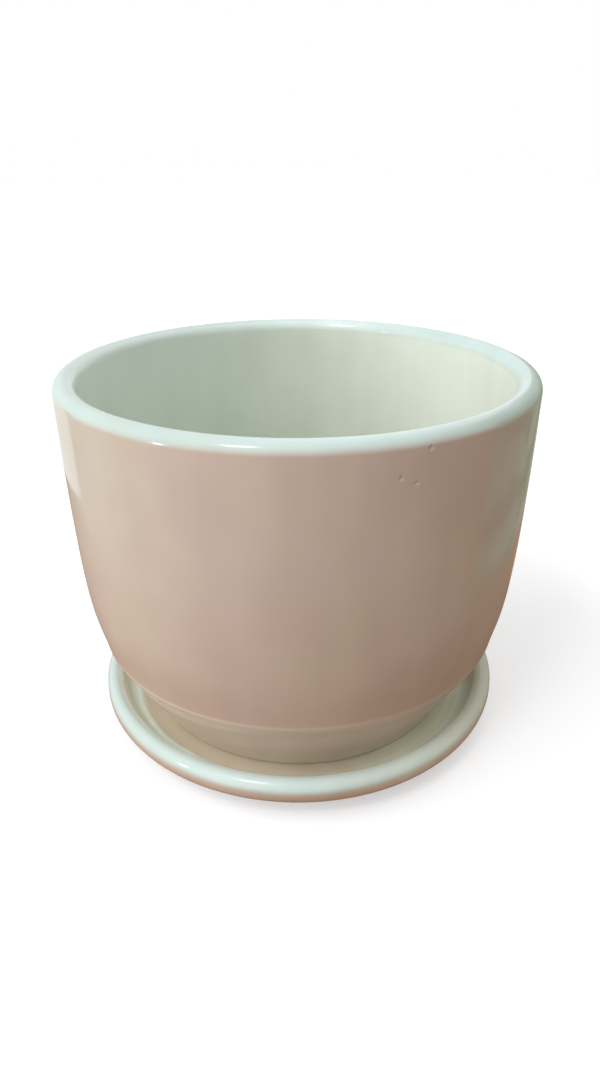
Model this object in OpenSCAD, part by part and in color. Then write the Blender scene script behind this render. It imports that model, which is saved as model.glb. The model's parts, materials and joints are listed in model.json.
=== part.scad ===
// Plant pot with a separate saucer, both of glazed earthenware.
// Each piece is one turned profile. The saucer stands on z = 0 and the pot stands on its floor.

/* [Pot] */
// Diameter across the outside of the rim
rim_d = 150; // [120:1:180]
// Height of the pot from the bottom of its foot to the top of its rim
pot_h = 116; // [90:1:150]
// Thickness of the wall at the rim, which is rounded right over
wall = 7; // [5:0.5:9]
// Diameter across the edge where the belly meets the foot
edge_d = 138.5; // [124:0.5:144]
// Height of that edge above the bottom of the foot
edge_h = 27.5; // [20:0.5:36]
// Slope of the belly where it leaves that edge, in degrees from level
belly_slope = 80; // [70:1:86]
// Radius that softens the edge
edge_round = 1.6; // [0.5:0.1:3]

/* [Foot of the pot] */
// Diameter across the bottom of the foot
foot_d = 107.5; // [90:0.5:116]
// Width of the unglazed ring that the pot stands on
foot_ring_w = 6; // [4:0.5:9]
// Depth of the hollow inside that ring
foot_hollow = 3; // [1.5:0.5:5]
// Thickness of the pot's floor round the drain hole
floor_t = 7; // [5:0.5:10]
// Radius of the cove inside, between the wall and the floor
floor_cove = 10; // [5:0.5:12]
// Diameter of the drain hole
drain_d = 14; // [8:1:24]
// Radius on the edges of the foot ring and of the drain hole's mouth
foot_round = 1.2; // [0.5:0.1:2]

/* [Saucer] */
// Width of the channel between the pot's foot and the saucer's lip, at the floor
channel_w = 11.25; // [9:0.25:16]
// Thickness of the rolled lip
lip_t = 6; // [4:0.5:8]
// Height of the lip above the saucer's floor
lip_h = 7.8; // [6.5:0.1:11]
// Height of the upright band between the roll of the lip and the tuck under it
lip_band = 1.2; // [0.4:0.1:2]
// Thickness of the saucer's floor
saucer_floor_t = 4.5; // [3.5:0.25:7]
// Radius of the underside where it tucks in below the lip
tuck_r = 5.5; // [4:0.25:7]
// Width of the saucer's own foot ring
saucer_ring_w = 4; // [3:0.5:6]
// Height of the saucer's own foot ring
saucer_ring_h = 2; // [1:0.25:3]
// Radius on the edges of the saucer's foot ring
saucer_ring_round = 0.7; // [0.3:0.1:1]

/* [Hidden] */
$fn = 144;
glaze_blush = [0.76, 0.67, 0.60];
glaze_mint = [0.83, 0.90, 0.86];

// Steps in which an outline takes a small round, and the long sweep of a wall
round_steps = 8;
sweep_steps = 28;

rim_r = rim_d / 2;
edge_r = edge_d / 2;
foot_r = foot_d / 2;
drain_r = drain_d / 2;
rim_round = wall / 2;
floor_z = foot_hollow + floor_t;

// Outer sweep, from the edge up to the rim: how far each end holds its own direction,
// as shares of the height between them
belly_hold_share = 0.18;
rim_hold_share = 0.9;
rim_lean = 0.5;

// The saucer follows the pot's foot
lip_round = lip_t / 2;
lip_inner_r = foot_r + channel_w;
saucer_r = lip_inner_r + lip_t;
lip_centre_h = lip_h - lip_round;
cove_r = lip_centre_h;
seat_z = saucer_ring_h + saucer_floor_t;
tuck_h = lip_centre_h - lip_band;
saucer_ring_r = foot_r + saucer_ring_round;

function unit(v) = v / norm(v);

// Points of an arc round centre c from angle a to angle b
function arc(c, r, a, b) =
    [for (i = [0:round_steps]) let (t = a + (b - a) * i / round_steps) c + r * [cos(t), sin(t)]];

// Points of a cubic curve with end points p and s, which leaves towards q and arrives from r
function sweep(p, q, r, s) =
    [for (i = [0:sweep_steps])
        let (t = i / sweep_steps, u = 1 - t)
        u * u * u * p + 3 * u * u * t * q + 3 * u * t * t * r + t * t * t * s];

// The same points, moved sideways to the left of their direction of travel
function moved_left(points, by) =
    let (last = len(points) - 1)
    [for (i = [0:last])
        let (way = unit(points[min(i + 1, last)] - points[max(i - 1, 0)]))
        points[i] + by * [-way[1], way[0]]];

// Where the straight stretches a to b and b to c meet once both have moved by to the left
function moved_corner(a, b, c, by) =
    let (way = unit(b - a), onward = unit(c - b), across = unit(way + onward))
    b + by / (across * way) * [-across[1], across[0]];

// The corner b between a and c, rounded with radius r
function rounded(a, b, c, r) =
    let (
        to_a = unit(a - b),
        to_c = unit(c - b),
        half = acos(to_a * to_c) / 2,
        centre = b + unit(to_a + to_c) * r / sin(half),
        from = b + to_a * r / tan(half) - centre,
        upto = b + to_c * r / tan(half) - centre,
        start = atan2(from[1], from[0]),
        turn = atan2(upto[1], upto[0]) - start,
        short_turn = turn > 180 ? turn - 360 : turn < -180 ? turn + 360 : turn
    )
    arc(centre, r, start, start + short_turn);

// Outline of the pot, from the drain hole out under the foot, up the outside and down the
// inside, which keeps one wall's thickness from the outside all the way to the floor
function pot_outline() =
    let (
        edge = [edge_r, edge_h],
        rim_c = [rim_r - rim_round, pot_h - rim_round],
        rise = rim_c[1] - edge_h,
        belly_out = edge + belly_hold_share * rise * [cos(belly_slope), sin(belly_slope)],
        rim_out = rim_c + [rim_round, 0],
        rim_out_hold = rim_out - rim_hold_share * rise * [sin(rim_lean), cos(rim_lean)],
        outside = sweep(edge, belly_out, rim_out_hold, rim_out),
        inside = moved_left(outside, wall),
        ring_out = [foot_r, 0],
        ring_in = [foot_r - foot_ring_w, 0],
        hollow = [foot_r - foot_ring_w - foot_hollow / 2, foot_hollow],
        edge_in = moved_corner(ring_out, edge, belly_out, wall),
        to_floor = (edge_in[1] - floor_z) / edge_h,
        floor_in = edge_in - to_floor * (edge - ring_out),
        mouth = [drain_r, floor_z]
    )
    concat(
        [[drain_r, foot_hollow], hollow],
        rounded(hollow, ring_in, ring_out, foot_round),
        rounded(ring_in, ring_out, edge, foot_round),
        rounded(ring_out, edge, belly_out, edge_round),
        [for (p = outside) if (p[1] > edge_h + edge_round && p[1] < rim_c[1]) p],
        arc(rim_c, rim_round, 0, 180),
        [for (i = [sweep_steps:-1:0])
            if (inside[i][1] > edge_in[1] + edge_round && inside[i][1] < rim_c[1]) inside[i]],
        rounded(edge_in + belly_out - edge, edge_in, floor_in, wall),
        rounded(edge_in, floor_in, mouth, floor_cove),
        rounded(floor_in, mouth, [drain_r, 0], foot_round)
    );

// Outline of the saucer, from its middle out under its foot ring, round the lip and back
function saucer_outline() =
    let (
        under_z = seat_z - saucer_floor_t,
        lip_c = [saucer_r - lip_round, seat_z + lip_centre_h],
        tuck_c = [saucer_r - tuck_r, seat_z + tuck_h],
        cove_c = [lip_inner_r - cove_r, lip_c[1]],
        ring_out = [saucer_ring_r, 0],
        ring_in = [saucer_ring_r - saucer_ring_w, 0],
        ring_top_out = [saucer_ring_r + saucer_ring_h / 2, under_z],
        ring_top_in = [ring_in[0] - saucer_ring_h / 2, under_z]
    )
    concat(
        [[0, under_z], ring_top_in],
        rounded(ring_top_in, ring_in, ring_out, saucer_ring_round),
        rounded(ring_in, ring_out, ring_top_out, saucer_ring_round),
        [ring_top_out],
        arc(tuck_c, tuck_r, -90, 0),
        arc(lip_c, lip_round, 0, 180),
        arc(cove_c, cove_r, -90 / round_steps, -90),
        [[0, seat_z]]
    );

module saucer() {
    color(glaze_mint)
        rotate_extrude()
            polygon(saucer_outline());
}

module pot() {
    color(glaze_blush)
        translate([0, 0, seat_z])
            rotate_extrude()
                polygon(pot_outline());
}

saucer();
pot();
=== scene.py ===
import json
import math

import bmesh
import bpy
from mathutils import Matrix, Vector, noise
from mathutils.geometry import interpolate_bezier


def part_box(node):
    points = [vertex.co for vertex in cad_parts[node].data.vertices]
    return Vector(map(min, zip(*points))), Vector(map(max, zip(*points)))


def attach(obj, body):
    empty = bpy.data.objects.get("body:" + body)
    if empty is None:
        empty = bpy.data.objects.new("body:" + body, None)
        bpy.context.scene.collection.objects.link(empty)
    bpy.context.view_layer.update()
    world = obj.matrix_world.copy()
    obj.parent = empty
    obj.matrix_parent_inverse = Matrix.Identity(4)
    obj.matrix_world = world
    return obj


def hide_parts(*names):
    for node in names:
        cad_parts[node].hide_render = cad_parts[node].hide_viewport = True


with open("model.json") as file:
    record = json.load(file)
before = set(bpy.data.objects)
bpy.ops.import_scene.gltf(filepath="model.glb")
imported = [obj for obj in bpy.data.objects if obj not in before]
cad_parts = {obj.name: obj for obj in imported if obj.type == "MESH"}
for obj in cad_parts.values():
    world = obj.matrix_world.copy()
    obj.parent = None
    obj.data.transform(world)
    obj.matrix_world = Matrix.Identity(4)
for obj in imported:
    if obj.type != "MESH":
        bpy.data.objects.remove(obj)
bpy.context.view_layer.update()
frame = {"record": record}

MM = 0.001

# Sizes of the two pieces, read from the frame where it holds them
pot_low, pot_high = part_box("pot")
saucer_low, saucer_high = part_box("saucer")
mounts = {m["name"]: m for m in frame["record"]["mounts"]}
RIM_R = pot_high.x
RIM_Z = pot_high.z
SEAT_Z = pot_low.z
DRAIN_R = mounts["drain_hole"]["dims"]["r_mm"] * MM
SAUCER_R = saucer_high.x
LIP_Z = saucer_high.z

# The pot's other sizes
WALL = 7 * MM
EDGE_R = 69.25 * MM
EDGE_Z = SEAT_Z + 27.5 * MM
BELLY_SLOPE = math.radians(80)
BELLY_HOLD = 0.18
RIM_HOLD = 0.9
RIM_LEAN = math.radians(0.5)
EDGE_SOFT = 0.35 * MM
FOOT_R = 53.75 * MM
FOOT_RING_W = 6 * MM
FOOT_HOLLOW = 3 * MM
FLOOR_Z = SEAT_Z + 10 * MM
FLOOR_COVE = 10 * MM
FOOT_ROUND = 1.2 * MM
DRAIN_SOFT = FOOT_ROUND * 0.4

# The saucer's other sizes
LIP_T = 6 * MM
LIP_BAND = 1.2 * MM
TUCK_R = 5.5 * MM
SAUCER_FLOOR_T = 4.5 * MM
SAUCER_RING_R = 54.45 * MM
SAUCER_RING_W = 4 * MM
SAUCER_RING_ROUND = 0.7 * MM

# How the fired clay departs from a true turned shape, always inwards
OUT_OF_ROUND = 0.35 * MM
RIM_DIP = 0.30 * MM
RIPPLE = 0.07 * MM

# How fast each of these changes, in lumps to the length of the rim's radius
SQUEEZE_PACE = 1.1
SQUEEZE_PACE_UP = 1.4
DIP_PACE = 1.7
RIPPLE_PACE = 5.5

# Height at which a piece starts to warp, and from which it warps fully
POT_WARP = (SEAT_Z + 4 * MM, SEAT_Z + 40 * MM)
SAUCER_WARP = (SEAT_Z + 0.5 * MM, LIP_Z)

# Height up to which the clay of a standing ring stays bare of glaze
GLAZE_LINE = 0.2 * MM

# Glaze pits on the wall and a nick in the rim: degrees round from the front, height, radius
# and depth
PITS = (
    (19.3, 112.0 * MM, 0.85 * MM, 0.25 * MM),
    (22.6, 110.1 * MM, 0.80 * MM, 0.22 * MM),
    (25.1, 118.6 * MM, 0.90 * MM, 0.36 * MM),
    (43.1, 87.9 * MM, 0.75 * MM, 0.24 * MM),
    (151.0, 98.0 * MM, 0.70 * MM, 0.22 * MM),
    (232.0, 74.0 * MM, 0.65 * MM, 0.20 * MM),
)

# How far round a pit each finer mesh reaches, in radii of the pit
PIT_MESH_REACH = (4.0, 2.2)

# What belongs to the outside of the wall at a pit: how far out it is, as a share of the rim's
# radius, and how squarely it faces out, as a cosine
PIT_WALL_SHARE = 0.8
PIT_FACING = 0.3

# Fineness of the turned meshes: steps in a full turn, in the wall's sweep and in a round
TURN_STEPS = 288
SWEEP_STEPS = 44
ROUND_STEPS = 14

# How near points are to each other when they are merged, and to a ring when they are on it
MERGE_NEAR = 0.002 * MM
RING_NEAR = 0.01 * MM

# Camera, fitted to the outlines in the photograph
FRAME_H_PX = 1066
FOCAL_PX = 750
CAMERA_AIM = Vector((0.6 * MM, 0, SEAT_Z + 55.86 * MM))
CAMERA_REACH = 263.0 * MM
CAMERA_PITCH = 0.464
CAMERA_ROLL = -0.004

# Light: the surround at the horizon and its rise to the top, the broad key at the left, a
# weaker one behind at the right, the round panel overhead, and the glow that brings the floor
# to white
SURROUND_LOW = 0.31
SURROUND_RISE = 0.46
KEY_LIGHT = 0.86
KEY_COLOUR = (0.95, 1.0, 1.05)
KEY_SPREAD = math.radians(70)
KEY_WAY = Vector((-0.827, -0.301, 0.475)).normalized()
BACK_LIGHT = 0.20
BACK_SPREAD = math.radians(60)
BACK_WAY = Vector((0.52, 0.70, 0.49)).normalized()
PANEL_SHINE = 9.0
PANEL_SIZE = 0.30
PANEL_REACH = 1.2
PANEL_WAY = Vector((-0.31, -0.46, 0.83)).normalized()
FLOOR_GLOW = 0.46
FLOOR_PAPER = ((0.58, 0.58, 0.58), (0.61, 0.61, 0.61))
FLOOR_REACH = 6

# Colour in which the floor lights the object at the left and at the right, how far out that
# changes, the colour that the glaze mirrors there, and the share of the floor's white that it
# mirrors with it
BOUNCE_LEFT = (0.58, 0.49, 0.40)
BOUNCE_RIGHT = (0.31, 0.22, 0.135)
BOUNCE_REACH = 0.22
MIRRORED_LEFT = (0.26, 0.16, 0.09)
MIRRORED_RIGHT = (0.36, 0.16, 0.05)
MIRRORED_WHITE = 0.12

# Upright cards beside the object that only the glaze mirrors: name, both ends, lowest and
# highest point, the two colours of their mottle, and brightness
WHITE = (1, 1, 1)
CARD_SAGE = ((0.86, 0.90, 0.87), (0.90, 0.94, 0.91))
CARD_OLIVE = ((0.27, 0.33, 0.23), (0.40, 0.49, 0.37))
CARDS = (
    ("left_card", (-0.235, 0.085), (-0.120, 0.330), 0, 0.16, CARD_SAGE, 1),
    ("right_card", (0.165, -0.040), (0.165, 0.300), 0, 0.25, CARD_OLIVE, 1),
    ("glint_card", (-0.415, -0.306), (-0.437, -0.268), 0.086, 0.176, (WHITE, WHITE), 15),
)

# Lumps of the cards' mottle in a metre, along each axis
CARD_MOTTLE = (13, 13, 42)

# Glaze and clay colours. Much of the glaze colour is painted light: the mint on the rims and
# lips, which face up, is painted cool light from above, and the blush below it is painted warm
# light from the sides and below
BLUSH = (0.53, 0.42, 0.365)
# Painted warm bounce light on the lower wall
BLUSH_PAINTED_BOUNCE = (0.50, 0.37, 0.30)
BLUSH_SAND = (0.54, 0.44, 0.355)
BLUSH_UNDER = (0.52, 0.38, 0.295)
# Painted reflection under the saucer's lip, on the side the pot shades
BLUSH_UNDER_PAINTED_REFLECTION = (0.72, 0.57, 0.46)
# Painted sheen: a pale band under the belly's edge, where it mirrors the saucer's lip
BLUSH_PAINTED_SHEEN = (0.74, 0.62, 0.52)
# Painted key light: paler cream on the upper left of the wall
BLUSH_PAINTED_KEY_LIGHT = (0.575, 0.53, 0.45)
FOOT_CREAM = (0.515, 0.41, 0.325)
# Painted reflection of the saucer, paler at the bottom of the foot
FOOT_PAINTED_REFLECTION = (0.62, 0.52, 0.41)
# Painted shade at both sides of the pot's rim
MINT_SIDES_PAINTED_SHADE = (0.49, 0.575, 0.53)
MINT = (0.56, 0.655, 0.615)
# Painted light and shade on the rim's inner side: paler at the left, darker to the right
MINT_PAINTED_LIGHT = (0.67, 0.755, 0.71)
MINT_SHADE = (0.46, 0.56, 0.53)
# Painted shade on the left of the saucer's lip
LIP_LEFT_PAINTED_SHADE = (0.49, 0.58, 0.53)
LIP_MINT = (0.59, 0.69, 0.645)
# Painted shadow: the warmer cream of the lip where the pot shades it
LIP_PAINTED_SHADOW = (0.65, 0.665, 0.55)
# Painted shade and light inside the pot: greener sage on the shaded left, cream on the lit right
SAGE = (0.70, 0.78, 0.695)
SAGE_PAINTED_LIGHT = (0.655, 0.675, 0.585)
SAGE_POOL = (0.655, 0.70, 0.61)
# Painted light in the saucer's cove against its shade, greyer sage to the right
COVE_PAINTED_LIGHT = (0.86, 0.97, 0.88)
COVE_SAGE = (0.80, 0.86, 0.73)
# Painted reflection of the pot and its shade on the saucer's floor, greener to the right
TAUPE = (0.625, 0.53, 0.40)
TAUPE_SAGE = (0.80, 0.80, 0.62)
CLAY = (0.62, 0.50, 0.39)
CLAY_DARK = (0.52, 0.40, 0.30)
FLECK = (0.22, 0.15, 0.10)

# The glaze at its plainest, and the clay: roughness, bend of light and relief
GLAZE_ROUGHNESS, GLAZE_IOR, GLAZE_RELIEF = 0.10, 1.5, 0.30 * MM
CLAY_ROUGHNESS, CLAY_IOR, CLAY_RELIEF = 0.82, 1.45, 0.12 * MM

# Order of the finishes on a piece
OUTSIDE, INSIDE, BARE = 0, 1, 2


class Wire:
    """A shader socket that sums can be written with, such as 1 - mask * 0.5."""

    def __init__(self, nodes, socket):
        self.nodes = nodes
        self.socket = socket

    def sum(self, operation, a, b):
        return self.nodes.add("ShaderNodeMath", {"operation": operation}, {0: a, 1: b})

    def __add__(self, other):
        return self.sum("ADD", self, other)

    def __radd__(self, other):
        return self.sum("ADD", other, self)

    def __sub__(self, other):
        return self.sum("SUBTRACT", self, other)

    def __rsub__(self, other):
        return self.sum("SUBTRACT", other, self)

    def __mul__(self, other):
        return self.sum("MULTIPLY", self, other)

    def __rmul__(self, other):
        return self.sum("MULTIPLY", other, self)

    def __truediv__(self, other):
        return self.sum("DIVIDE", self, other)

    def __rtruediv__(self, other):
        return self.sum("DIVIDE", other, self)


class Nodes:
    """The nodes of one material, or of the surround."""

    # Numbers of the sockets with which a Mix node mixes colours
    MIX_FACTOR, MIX_A, MIX_B, MIX_RESULT = 0, 6, 7, 2

    def __init__(self, tree):
        self.tree = tree
        tree.nodes.clear()

    def add(self, kind, settings=None, values=None, output=0):
        """A node of that type with its settings, then its values or links. Gives one output."""
        node = self.tree.nodes.new(kind)
        for name, value in (settings or {}).items():
            setattr(node, name, value)
        for name, value in (values or {}).items():
            self.feed(node.inputs[name], value)
        return Wire(self, node.outputs[output]) if node.outputs else None

    def feed(self, socket, value):
        """Links a wire to a socket, or sets the socket to a number, vector or colour."""
        if isinstance(value, Wire):
            self.tree.links.new(value.socket, socket)
        elif socket.type == "RGBA":
            socket.default_value = (*value, 1)
        else:
            socket.default_value = value

    def place(self):
        return self.add("ShaderNodeTexCoord", output="Object")

    def height(self):
        return self.add("ShaderNodeSeparateXYZ", values={"Vector": self.place()}, output="Z")

    def across(self):
        return self.add("ShaderNodeSeparateXYZ", values={"Vector": self.place()}, output="X")

    def scaled(self, x, y, z):
        """The place on the piece, with each axis scaled."""
        values = {0: self.place(), 1: (x, y, z)}
        return self.add("ShaderNodeVectorMath", {"operation": "MULTIPLY"}, values)

    def radius(self):
        """Distance from the turning axis."""
        values = {0: self.scaled(1, 1, 0)}
        return self.add("ShaderNodeVectorMath", {"operation": "LENGTH"}, values, "Value")

    def blend(self, mask, a, b):
        """Colour a where the mask is 0 and colour b where it is 1."""
        values = {self.MIX_FACTOR: mask, self.MIX_A: a, self.MIX_B: b}
        return self.add("ShaderNodeMix", {"data_type": "RGBA"}, values, self.MIX_RESULT)

    def ease(self, value, start, end):
        """0 up to start, 1 from end on, and a smooth rise between them."""
        return self.add(
            "ShaderNodeMapRange",
            {"interpolation_type": "SMOOTHSTEP"},
            {"Value": value, "From Min": start, "From Max": end},
        )

    def clouds(self, size, detail=2.0, roughness=0.5):
        """Soft noise whose lumps are about that size across."""
        return self.add(
            "ShaderNodeTexNoise",
            {"noise_dimensions": "3D"},
            {"Vector": self.place(), "Scale": 1 / size, "Detail": detail, "Roughness": roughness},
        )

    def lumps(self, at, detail=1.0):
        """Soft noise whose lumps are about 1 across in the coordinates that it is given."""
        values = {"Vector": at, "Scale": 1.0, "Detail": detail}
        return self.add("ShaderNodeTexNoise", {"noise_dimensions": "3D"}, values)

    def runs(self, size):
        """Soft noise drawn out downwards, as glaze runs, in streaks about that size across."""
        return self.lumps(self.scaled(1 / size, 1 / size, 0.12 / size))

    def rings(self, size):
        """Soft noise drawn out round the turning axis, as a brush leaves on the wheel."""
        values = {"X": self.radius() / size, "Y": self.across() / (18 * size)}
        return self.lumps(self.add("ShaderNodeCombineXYZ", values=values))

    def dots(self, spacing, size, share):
        """Round dots of that size, in a share of the cells of a scatter of that spacing."""
        settings = {"feature": "F1", "distance": "EUCLIDEAN"}
        values = {"Vector": self.place(), "Scale": 1 / spacing}
        off_centre = self.add("ShaderNodeTexVoronoi", settings, values, "Distance")
        cell = self.add("ShaderNodeTexVoronoi", settings, values, "Color")
        chance = self.add("ShaderNodeSeparateColor", values={"Color": cell}, output="Red")
        kept = self.add("ShaderNodeMath", {"operation": "LESS_THAN"}, {0: chance, 1: share})
        reach = size / spacing / 2
        return (1 - self.ease(off_centre, reach * 0.4, reach)) * kept

    def shade(self, colour, strength, richness=1.0):
        """The colour made lighter or darker, and richer or greyer."""
        return self.add(
            "ShaderNodeHueSaturation",
            values={"Color": colour, "Value": strength, "Saturation": richness},
        )

    def relief(self, height, depth):
        return self.add("ShaderNodeBump", values={"Height": height, "Distance": depth})

    def shown(self, gloss=1.0):
        """1 to the camera and through glass, gloss where mirrored, and 0 to bounced light."""
        straight = self.add("ShaderNodeLightPath", output="Is Camera Ray")
        mirrored = self.add("ShaderNodeLightPath", output="Is Glossy Ray")
        passed = self.add("ShaderNodeLightPath", output="Is Transmission Ray")
        return straight + passed + mirrored * gloss

    def close(self, shader):
        self.add("ShaderNodeOutputMaterial", values={"Surface": shader})


def new_finish(name):
    finish = bpy.data.materials.new(name)
    finish.use_nodes = True
    return finish, Nodes(finish.node_tree)


def glaze(name, colouring, dulling=None):
    """Glossy fired glaze.

    colouring(n) gives its colour before the clouding and the flecks, and dulling(n) how much
    rougher than its plain gloss it comes out.
    """
    finish, n = new_finish(name)
    depth = n.ease(n.clouds(42 * MM, detail=2.0), 0.30, 0.72)
    mottle = n.clouds(7 * MM, detail=2.0)
    colour = n.shade(colouring(n), 1.03 - depth * 0.06, 0.95 + depth * 0.12)
    colour = n.shade(colour, 0.94 + mottle * 0.03 + n.runs(9 * MM) * 0.09)
    flecks = n.dots(spacing=13 * MM, size=0.40 * MM, share=0.16)
    colour = n.blend(flecks * 0.40, colour, FLECK)
    pinpricks = n.dots(spacing=17 * MM, size=0.60 * MM, share=0.14)
    colour = n.shade(colour, 1 - pinpricks * 0.3)
    smears = n.ease(n.clouds(26 * MM, detail=3.0, roughness=0.6), 0.48, 0.78)
    sway = n.clouds(18 * MM, detail=0.0)
    peel = n.clouds(3.0 * MM, detail=0.0)
    normal = n.relief(sway + peel * 0.04 - pinpricks * 0.4, GLAZE_RELIEF)
    roughness = GLAZE_ROUGHNESS + smears * 0.05 + pinpricks * 0.3
    if dulling:
        roughness = roughness + dulling(n)
    shader = n.add(
        "ShaderNodeBsdfPrincipled",
        values={
            "Base Color": colour,
            "Roughness": roughness,
            "IOR": GLAZE_IOR,
            "Normal": normal,
        },
    )
    n.close(shader)
    return finish


def rim_mint(n):
    """The pot's rim mint, in painted shade: darker at both sides, paler across the middle."""
    off_middle = n.add("ShaderNodeMath", {"operation": "ABSOLUTE"}, {0: n.across() - 15 * MM})
    return n.blend(n.ease(off_middle, 14 * MM, 48 * MM), MINT, MINT_SIDES_PAINTED_SHADE)


def pot_outside(n):
    """Blush, creamy on the foot, with painted light: warmer below, pale over the rim and edge."""
    z = n.height()
    # Painted warm bounce light: warmer towards the bottom
    low = 1 - n.ease(z, SEAT_Z + 8 * MM, SEAT_Z + 85 * MM)
    colour = n.blend(low, BLUSH, BLUSH_PAINTED_BOUNCE)
    sand = n.ease(n.clouds(34 * MM, detail=1.0), 0.40, 0.62)
    colour = n.blend(sand * (0.8 - low * 0.65), colour, BLUSH_SAND)
    wander = n.clouds(16 * MM) - 0.5
    # Painted key light: paler cream on the upper left, where the key falls
    upper = n.ease(z, RIM_Z - 55 * MM, RIM_Z - 14 * MM)
    side = 1 - n.ease(n.across() + wander * (24 * MM), -72 * MM, -22 * MM)
    colour = n.blend(upper * side * 0.8, colour, BLUSH_PAINTED_KEY_LIGHT)
    foot = 1 - n.ease(z + wander * (2 * MM), EDGE_Z - 5 * MM, EDGE_Z + 1 * MM)
    # Painted light: the foot's bottom paler, as a reflection of the saucer against its shade
    bottom_band = 1 - n.ease(z, SEAT_Z + 1 * MM, SEAT_Z + 10 * MM)
    colour = n.blend(foot, colour, n.blend(bottom_band, FOOT_CREAM, FOOT_PAINTED_REFLECTION))
    # Painted cool light from above: the rim's mint
    rim = n.ease(z + wander * (1.2 * MM), RIM_Z - 3.9 * MM, RIM_Z - 1.6 * MM)
    colour = n.blend(rim, colour, rim_mint(n))
    # Painted sheen under the belly's edge, wider and brighter on the left
    wide = 1 - n.ease(n.across() + wander * (20 * MM), -55 * MM, 5 * MM)
    below = n.ease(z + wander * (1.5 * MM) + wide * (6 * MM), EDGE_Z - 5 * MM, EDGE_Z - 1.5 * MM)
    above = 1 - n.ease(z + wander * (0.4 * MM), EDGE_Z + 0.3 * MM, EDGE_Z + 1.6 * MM)
    return n.blend(below * above * (0.32 + wide * 0.38), colour, BLUSH_PAINTED_SHEEN)


def duller_foot(n):
    """The foot comes out less glossy than the wall."""
    return (1 - n.ease(n.height(), EDGE_Z - 10 * MM, EDGE_Z - 2 * MM)) * 0.12


def pot_inside(n):
    """Sage cream in painted light and shade, the rim's mint a little way down, pooling below."""
    z = n.height()
    wander = n.clouds(22 * MM) - 0.5
    rim = n.ease(z + wander * (2 * MM), RIM_Z - 5 * MM, RIM_Z - 1.2 * MM)
    # Painted shade and light: greener sage on the shaded left, cream on the lit right
    side = n.ease(n.across() + wander * (14 * MM), -58 * MM, 28 * MM)
    # Painted light and shade inside the rim: paler at the left and middle, darker to the right
    shaded = n.ease(n.across(), 5 * MM, 55 * MM)
    crest = n.ease(n.radius(), RIM_R - 6.2 * MM, RIM_R - 4 * MM)
    mint = n.blend(crest, n.blend(shaded, MINT_PAINTED_LIGHT, MINT_SHADE), rim_mint(n))
    colour = n.blend(rim, n.blend(side, SAGE, SAGE_PAINTED_LIGHT), mint)
    bottom_band = 1 - n.ease(z, FLOOR_Z - 1 * MM, FLOOR_Z + 16 * MM)
    return n.blend(bottom_band * 0.5, colour, SAGE_POOL)


def lip_mint(n):
    """The saucer lip's mint, in painted shade: darker at the left, warmer cream to the right."""
    side = n.ease(n.across() + n.clouds(30 * MM) * (40 * MM), 20 * MM, 90 * MM)
    middle = n.ease(n.across(), -62 * MM, -8 * MM)
    return n.blend(side, n.blend(middle, LIP_LEFT_PAINTED_SHADE, LIP_MINT), LIP_PAINTED_SHADOW)


def saucer_top(n):
    """Mint lip, painted light in the cove, running to taupe painted reflection on the floor."""
    r = n.radius()
    wander = n.clouds(14 * MM) - 0.5
    # Painted light: the cove paler than the glaze, against the shade there
    cove = n.ease(r + wander * (1.5 * MM), SAUCER_R - 12.2 * MM, SAUCER_R - 10.2 * MM)
    rings = n.ease(n.rings(2.6 * MM), 0.35, 0.65)
    # Painted reflection and shade: greener to the right, where the pot shades the saucer
    side = n.ease(n.across() + wander * (20 * MM), 0, 36 * MM)
    ground = n.shade(n.blend(side, TAUPE, TAUPE_SAGE), 0.94 + rings * 0.08)
    colour = n.blend(cove, ground, n.blend(side, COVE_PAINTED_LIGHT, COVE_SAGE))
    lip = n.ease(r + wander * (0.8 * MM), SAUCER_R - 5.4 * MM, SAUCER_R - 3.6 * MM)
    return n.blend(lip, colour, lip_mint(n))


def duller_ground(n):
    """The saucer's floor comes out less glossy than its cove and lip."""
    return (1 - n.ease(n.radius(), SAUCER_R - 13 * MM, SAUCER_R - 9 * MM)) * 0.20


def saucer_outside(n):
    """Painted light and shade: blush under the lip, cool mint where the lip turns up."""
    z = n.height()
    wander = n.clouds(14 * MM) - 0.5
    lip = n.ease(z + wander * (0.8 * MM), LIP_Z - 4.6 * MM, LIP_Z - 2.2 * MM)
    # Painted reflection: paler under the lip on the right, in the pot's shadow
    side = n.ease(n.across() + wander * (20 * MM), 5 * MM, 55 * MM)
    return n.blend(lip, n.blend(side, BLUSH_UNDER, BLUSH_UNDER_PAINTED_REFLECTION), lip_mint(n))


def bare_clay():
    """Unglazed biscuit clay: pale, dry and gritty, with darker rub marks."""
    finish, n = new_finish("bare_clay")
    grain = n.clouds(0.7 * MM, detail=3.0, roughness=0.7)
    blotch = n.ease(n.clouds(11 * MM, detail=3.0), 0.35, 0.7)
    grit = n.dots(spacing=1.6 * MM, size=0.5 * MM, share=0.3)
    colour = n.shade(n.blend(blotch, CLAY, CLAY_DARK), 0.85 + grain * 0.3)
    colour = n.blend(grit * 0.5, colour, FLECK)
    shader = n.add(
        "ShaderNodeBsdfPrincipled",
        values={
            "Base Color": colour,
            "Roughness": CLAY_ROUGHNESS + grain * 0.15,
            "IOR": CLAY_IOR,
            "Normal": n.relief(grain + grit * 0.4, CLAY_RELIEF),
        },
    )
    n.close(shader)
    return finish


def arc(centre, radius, start, end, steps=ROUND_STEPS):
    """Outline points of an arc round a centre, from angle start to angle end."""
    turns = [start + (end - start) * i / steps for i in range(steps + 1)]
    return [centre + radius * Vector((math.cos(t), math.sin(t))) for t in turns]


def line(a, b, steps):
    """Outline points of a straight stretch, both ends included."""
    return [a.lerp(b, i / steps) for i in range(steps + 1)]


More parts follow.
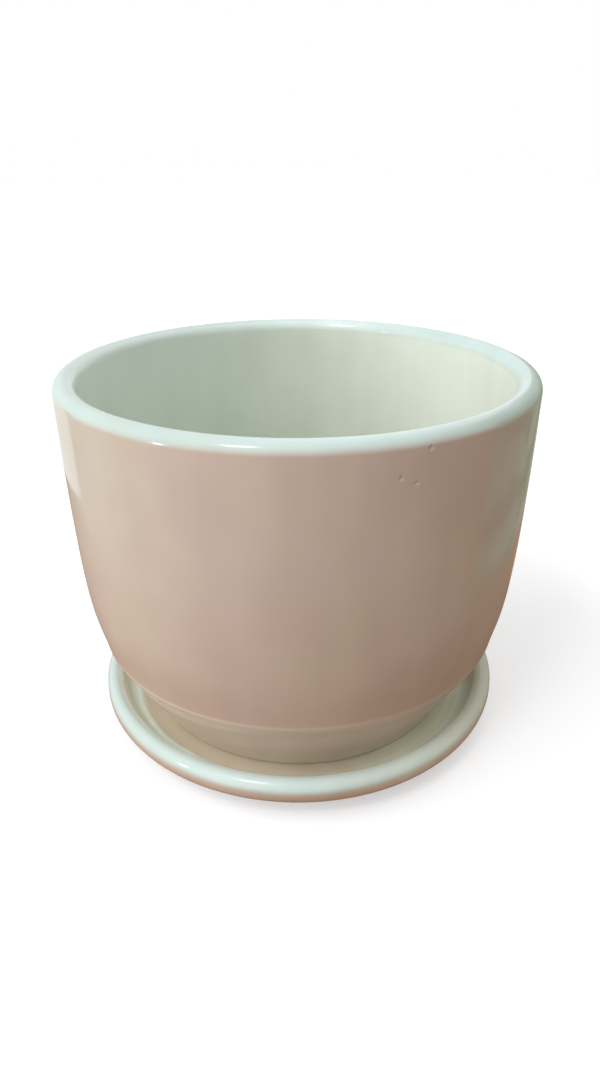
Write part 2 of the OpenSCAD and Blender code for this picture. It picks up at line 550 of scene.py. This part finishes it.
def rounded(before, corner, after, radius, steps=ROUND_STEPS):
    """Outline points of a corner between two straight stretches, rounded with that radius."""
    back, on = (before - corner).normalized(), (after - corner).normalized()
    half = back.angle(on) / 2
    centre = corner + (back + on).normalized() * radius / math.sin(half)
    first = corner + back * radius / math.tan(half) - centre
    last = corner + on * radius / math.tan(half) - centre
    start = math.atan2(first.y, first.x)
    return arc(centre, radius, start, start + math.atan2(first.cross(last), first.dot(last)), steps)


def sweep(a, toward, back, b):
    """Outline points of a cubic curve from a to b, both ends included."""
    knots = [v.to_3d() for v in (a, toward, back, b)]
    return [p.xy for p in interpolate_bezier(*knots, SWEEP_STEPS)]


def moved_left(points, by):
    """Outline points moved sideways to the left of their direction of travel."""
    ways = [(b - a).normalized() for a, b in zip(points, points[1:])]
    ways = [ways[0]] + [(a + b).normalized() for a, b in zip(ways, ways[1:])] + [ways[-1]]
    return [p + by * Vector((-way.y, way.x)) for p, way in zip(points, ways)]


def pot_outline():
    """From the drain hole out under the foot, up the outside and down the inside."""
    rim_c = Vector((RIM_R - WALL / 2, RIM_Z - WALL / 2))
    edge = Vector((EDGE_R, EDGE_Z))
    foot = Vector((FOOT_R, SEAT_Z))
    rise = rim_c.y - EDGE_Z
    rim_out = rim_c + Vector((WALL / 2, 0))
    belly_way = Vector((math.cos(BELLY_SLOPE), math.sin(BELLY_SLOPE)))
    lean = Vector((math.sin(RIM_LEAN), math.cos(RIM_LEAN)))
    belly_out = edge + BELLY_HOLD * rise * belly_way
    outside = sweep(edge, belly_out, rim_out - RIM_HOLD * rise * lean, rim_out)
    cone_way = (edge - foot).normalized()
    across = (belly_way + cone_way).normalized()
    edge_in = edge + WALL / across.dot(belly_way) * Vector((-across.y, across.x))
    floor_corner = edge_in - cone_way * (edge_in.y - FLOOR_Z) / cone_way.y
    inside = [p for p in moved_left(outside, WALL) if edge_in.y + 2 * MM < p.y < rim_c.y]
    ring_in = Vector((FOOT_R - FOOT_RING_W, SEAT_Z))
    hollow = Vector((ring_in.x - FOOT_HOLLOW / 2, SEAT_Z + FOOT_HOLLOW))
    drain_top = Vector((DRAIN_R, FLOOR_Z))
    drain_end = Vector((DRAIN_R, hollow.y))
    ring_round = rounded(hollow, ring_in, foot, FOOT_ROUND)
    foot_round = rounded(ring_in, foot, edge, FOOT_ROUND)
    inner_edge = rounded(edge_in + belly_way, edge_in, floor_corner, WALL, steps=8)
    cove = rounded(edge_in, floor_corner, drain_top, FLOOR_COVE)
    return (
        line(drain_end, hollow, steps=8)
        + line(hollow, ring_round[0], steps=2)[1:]
        + ring_round[1:]
        + line(ring_round[-1], foot_round[0], steps=3)[1:]
        + foot_round[1:]
        + line(foot_round[-1], edge, steps=15)[1:]
        + outside[1:]
        + arc(rim_c, WALL / 2, 0, math.pi, steps=ROUND_STEPS * 2)[1:]
        + inside[::-1]
        + inner_edge
        + line(inner_edge[-1], cove[0], steps=6)[1:]
        + cove[1:]
        + line(cove[-1], drain_top, steps=12)[1:]
        + line(drain_top, drain_end, steps=4)[1:-1]
    )


def saucer_outline():
    """From the middle out under the foot ring, round the lip and back over the floor."""
    under = SEAT_Z - SAUCER_FLOOR_T
    lip_c = Vector((SAUCER_R - LIP_T / 2, LIP_Z - LIP_T / 2))
    tuck_c = Vector((SAUCER_R - TUCK_R, lip_c.y - LIP_BAND))
    cove_r = lip_c.y - SEAT_Z
    cove_c = Vector((SAUCER_R - LIP_T - cove_r, lip_c.y))
    ring_out = Vector((SAUCER_RING_R, 0))
    ring_in = Vector((SAUCER_RING_R - SAUCER_RING_W, 0))
    flare = Vector((under / 2, under))
    top_out = ring_out + flare
    top_in = ring_in + Vector((-flare.x, flare.y))
    inner_round = rounded(top_in, ring_in, ring_out, SAUCER_RING_ROUND, steps=8)
    outer_round = rounded(ring_in, ring_out, top_out, SAUCER_RING_ROUND, steps=8)
    return (
        line(Vector((0, under)), top_in, steps=8)
        + line(top_in, inner_round[0], steps=2)[1:]
        + inner_round[1:]
        + line(inner_round[-1], outer_round[0], steps=2)[1:]
        + outer_round[1:]
        + line(outer_round[-1], top_out, steps=2)[1:]
        + line(top_out, tuck_c - Vector((0, TUCK_R)), steps=6)[1:]
        + arc(tuck_c, TUCK_R, -math.pi / 2, 0)[1:]
        + arc(lip_c, LIP_T / 2, 0, math.pi, steps=ROUND_STEPS * 2)
        + arc(cove_c, cove_r, 0, -math.pi / 2)[1:]
        + line(Vector((cove_c.x, SEAT_Z)), Vector((0, SEAT_Z)), steps=12)[1:]
    )


def turned(outline, closed):
    """The solid that an outline makes, turned round the upright axis."""
    bm = bmesh.new()
    points = [bm.verts.new((p.x, 0, p.y)) for p in outline]
    edges = [bm.edges.new(pair) for pair in zip(points, points[1:])]
    if closed:
        edges.append(bm.edges.new((points[-1], points[0])))
    bmesh.ops.spin(
        bm,
        geom=points + edges,
        cent=(0, 0, 0),
        axis=(0, 0, 1),
        angle=math.tau,
        steps=TURN_STEPS,
        use_merge=True,
    )
    bmesh.ops.remove_doubles(bm, verts=bm.verts, dist=MERGE_NEAR)
    bmesh.ops.recalc_face_normals(bm, faces=bm.faces)
    return bm


def soften(bm, corner, size):
    """Rounds the turned ring that passes through a corner of the outline."""

    def on_ring(v):
        return abs(v.co.z - corner.y) < RING_NEAR and abs(v.co.xy.length - corner.x) < RING_NEAR

    bmesh.ops.bevel(
        bm,
        geom=[e for e in bm.edges if all(on_ring(v) for v in e.verts)],
        offset=size,
        offset_type="OFFSET",
        affect="EDGES",
        segments=4,
        profile=0.5,
        material=-1,
    )


def smooth_rise(value, start, end):
    t = min(max((value - start) / (end - start), 0), 1)
    return t * t * (3 - 2 * t)


def fired(bm, stiff_z, free_z):
    """Warps a turned piece as firing does: out of round, a dipping rim and a faint ripple."""

    def soft_noise(*at):
        """Noise from 0 to 1. The 4 and the 7 below take each kind from a place of its own."""
        return 0.5 + 0.5 * noise.noise(Vector(at))

    for v in bm.verts:
        r = v.co.xy.length
        if r < 1 * MM:
            continue
        free = smooth_rise(v.co.z, stiff_z, free_z)
        x, y, z = v.co / RIM_R
        squeeze = soft_noise(x * SQUEEZE_PACE + 4, y * SQUEEZE_PACE, z * SQUEEZE_PACE_UP)
        dip = soft_noise(x * DIP_PACE, y * DIP_PACE + 7, 0)
        ripple = soft_noise(x * RIPPLE_PACE, y * RIPPLE_PACE, z * RIPPLE_PACE)
        v.co.xy *= 1 - free * (squeeze * OUT_OF_ROUND + ripple * RIPPLE) / r
        v.co.z -= free * (dip * RIM_DIP + ripple * RIPPLE)


def pitted(bm):
    """Presses the glaze pits into the wall, with finer faces round each of them."""
    for turn, height, radius, depth in PITS:
        way = Vector((math.sin(math.radians(turn)), -math.cos(math.radians(turn)), 0))
        side = Vector((-way.y, way.x, 0))

        def off_pit(co, normal):
            """Distance of a place on the wall from the pit's middle, in radii of the pit."""
            if co.dot(way) < RIM_R * PIT_WALL_SHARE or normal.dot(way) <= PIT_FACING:
                return math.inf
            return math.hypot(co.dot(side), co.z - height) / radius

        for reach in PIT_MESH_REACH:
            near = [f for f in bm.faces if off_pit(f.calc_center_median(), f.normal) < reach]
            edges = list({e for f in near for e in f.edges})
            bmesh.ops.subdivide_edges(bm, edges=edges, cuts=3, use_grid_fill=True)
        bm.normal_update()
        for v in bm.verts:
            off = off_pit(v.co, v.normal)
            if off < 1:
                v.co -= way * depth * (1 - off**2) ** 2
    # Where the finer mesh meets the coarser one, faces have corners of nearly pi
    lopsided = [f for f in bm.faces if any(loop.calc_angle() > 3.0 for loop in f.loops)]
    bmesh.ops.triangulate(bm, faces=lopsided, quad_method="BEAUTY", ngon_method="BEAUTY")


def set_down(name, bm, finishes):
    """Makes a mesh object at the origin, with its finishes in order."""
    mesh = bpy.data.meshes.new(name)
    bm.to_mesh(mesh)
    bm.free()
    for finish in finishes:
        mesh.materials.append(finish)
    thing = bpy.data.objects.new(name, mesh)
    bpy.context.collection.objects.link(thing)
    return thing


def finished(name, bm, finishes, body):
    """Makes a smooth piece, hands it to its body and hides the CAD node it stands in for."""
    bmesh.ops.recalc_face_normals(bm, faces=bm.faces)
    for face in bm.faces:
        face.smooth = True
    piece = set_down(name, bm, finishes)
    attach(piece, body)
    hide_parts(body)


def make_pot(clay):
    """The pot: glaze outside and inside, and bare clay under its foot ring."""
    bm = turned(pot_outline(), closed=True)
    soften(bm, Vector((EDGE_R, EDGE_Z)), EDGE_SOFT)
    soften(bm, Vector((DRAIN_R, FLOOR_Z)), FOOT_ROUND)
    soften(bm, Vector((DRAIN_R, SEAT_Z + FOOT_HOLLOW)), DRAIN_SOFT)
    for face in bm.faces:
        centre = face.calc_center_median()
        in_crest = centre.xy.length < RIM_R - WALL / 2
        above_drain = centre.z > FLOOR_Z - FOOT_ROUND * 1.2
        looks_in_or_up = face.normal.xy.dot(centre.xy) < 0 or face.normal.z > 0.2
        if centre.z < SEAT_Z + GLAZE_LINE:
            face.material_index = BARE
        elif in_crest and above_drain and looks_in_or_up:
            face.material_index = INSIDE
        else:
            face.material_index = OUTSIDE
    fired(bm, *POT_WARP)
    pitted(bm)
    outside = glaze("pot_glaze_outside", pot_outside, duller_foot)
    finishes = [outside, glaze("pot_glaze_inside", pot_inside), clay]
    finished("glazed_pot", bm, finishes, "pot")


def make_saucer(clay):
    """The saucer: glaze above and below, and bare clay under its foot ring."""
    bm = turned(saucer_outline(), closed=False)
    for face in bm.faces:
        centre = face.calc_center_median()
        if centre.z < GLAZE_LINE:
            face.material_index = BARE
        elif centre.z > SEAT_Z - 0.1 * MM and centre.xy.length < SAUCER_R - LIP_T / 2:
            face.material_index = INSIDE
        else:
            face.material_index = OUTSIDE
    fired(bm, *SAUCER_WARP)
    top = glaze("saucer_glaze_top", saucer_top, duller_ground)
    finishes = [glaze("saucer_glaze_outside", saucer_outside), top, clay]
    finished("glazed_saucer", bm, finishes, "saucer")


def make_floor():
    """A floor that looks white but for the object's shadow, and lights the object in tan."""
    finish, n = new_finish("floor_paper")
    white = n.blend(n.clouds(90 * MM, detail=3.0), *FLOOR_PAPER)
    side = n.ease(n.across(), -BOUNCE_REACH, BOUNCE_REACH)
    lit = n.blend(side, BOUNCE_LEFT, BOUNCE_RIGHT)
    mirrored = n.add("ShaderNodeLightPath", output="Is Glossy Ray")
    warm = n.blend(mirrored, lit, n.blend(side, MIRRORED_LEFT, MIRRORED_RIGHT))
    matt = {"Roughness": 1.0, "Specular IOR Level": 0.0}
    paper = n.add("ShaderNodeBsdfPrincipled", values={"Base Color": white, **matt})
    glow = n.add("ShaderNodeEmission", values={"Color": WHITE, "Strength": FLOOR_GLOW})
    shown = n.add("ShaderNodeAddShader", values={0: paper, 1: glow})
    bounce = n.add("ShaderNodeBsdfPrincipled", values={"Base Color": warm, **matt})
    n.close(n.add("ShaderNodeMixShader", values={0: n.shown(MIRRORED_WHITE), 1: bounce, 2: shown}))
    bm = bmesh.new()
    bmesh.ops.create_grid(bm, x_segments=1, y_segments=1, size=FLOOR_REACH)
    set_down("floor", bm, [finish])


def hang(light, way, reach):
    """Hangs a light that far off, turned to the middle of the object."""
    lamp = bpy.data.objects.new(light.name, light)
    lamp.location = Vector((0, 0, RIM_Z / 2)) + way * reach
    lamp.rotation_euler = (-way).to_track_quat("-Z", "Y").to_euler()
    bpy.context.collection.objects.link(lamp)
    return lamp


def stand_card(name, start, end, low, high, colours, brightness):
    """Stands up a mottled card, which shows in the glaze only."""
    finish, n = new_finish(name + "_face")
    shapes = n.lumps(n.scaled(*CARD_MOTTLE), detail=2.0)
    colour = n.blend(n.ease(shapes, 0.42, 0.58), *colours)
    n.close(n.add("ShaderNodeEmission", values={"Color": colour, "Strength": brightness}))
    bm = bmesh.new()
    foot = [bm.verts.new((*p, low)) for p in (start, end)]
    edge = bm.edges.new(foot)
    raised = bmesh.ops.extrude_edge_only(bm, edges=[edge])["geom"]
    top = [v for v in raised if isinstance(v, bmesh.types.BMVert)]
    bmesh.ops.translate(bm, verts=top, vec=(0, 0, high - low))
    card = set_down(name, bm, [finish])
    card.visible_camera = False
    card.visible_diffuse = False
    card.visible_transmission = False
    card.visible_shadow = False


def light_studio():
    """A broad key, a weaker one behind, a round panel and a pale surround, brighter above."""
    for name, strength, spread, way in (
        ("key", KEY_LIGHT, KEY_SPREAD, KEY_WAY),
        ("back_key", BACK_LIGHT, BACK_SPREAD, BACK_WAY),
    ):
        key = bpy.data.lights.new(name, "SUN")
        key.energy = strength * math.pi
        key.color = KEY_COLOUR
        key.angle = spread
        hang(key, way, reach=1).visible_glossy = False
    panel = bpy.data.lights.new("panel", "AREA")
    panel.shape = "DISK"
    panel.size = PANEL_SIZE
    # A lamp gives pi times its area times its radiance
    panel.energy = PANEL_SHINE * math.pi * math.pi * PANEL_SIZE**2 / 4
    hang(panel, PANEL_WAY, PANEL_REACH)
    world = bpy.data.worlds.new("surround")
    world.use_nodes = True
    n = Nodes(world.node_tree)
    way = n.add("ShaderNodeTexCoord", output="Generated")
    up = n.add("ShaderNodeSeparateXYZ", values={"Vector": way}, output="Z")
    up = n.add("ShaderNodeMath", {"operation": "MAXIMUM"}, {0: up, 1: 0.0})
    strength = up * SURROUND_RISE + SURROUND_LOW
    soft = n.add("ShaderNodeBackground", values={"Color": WHITE, "Strength": strength})
    white = n.add("ShaderNodeBackground", values={"Color": WHITE, "Strength": 1.0})
    mixed = n.add("ShaderNodeMixShader", values={0: n.shown(), 1: soft, 2: white})
    n.add("ShaderNodeOutputWorld", values={"Surface": mixed})
    bpy.context.scene.world = world


def place_camera():
    """The camera at the photograph's place and angle."""
    data = bpy.data.cameras.new("camera")
    data.lens = FOCAL_PX / FRAME_H_PX * data.sensor_width
    data.clip_start = 0.01
    data.clip_end = 50
    camera = bpy.data.objects.new("camera", data)
    forward = Vector((0, math.cos(CAMERA_PITCH), -math.sin(CAMERA_PITCH)))
    pitch = Matrix.Rotation(math.pi / 2 - CAMERA_PITCH, 4, "X")
    roll = Matrix.Rotation(CAMERA_ROLL, 4, "Z")
    spot = Matrix.Translation(CAMERA_AIM - forward * CAMERA_REACH)
    camera.matrix_world = spot @ (pitch @ roll)
    bpy.context.collection.objects.link(camera)
    bpy.context.scene.camera = camera


biscuit = bare_clay()
make_pot(biscuit)
make_saucer(biscuit)
make_floor()
for card in CARDS:
    stand_card(*card)
light_studio()
place_camera()
bpy.context.scene.view_settings.view_transform = "Standard"
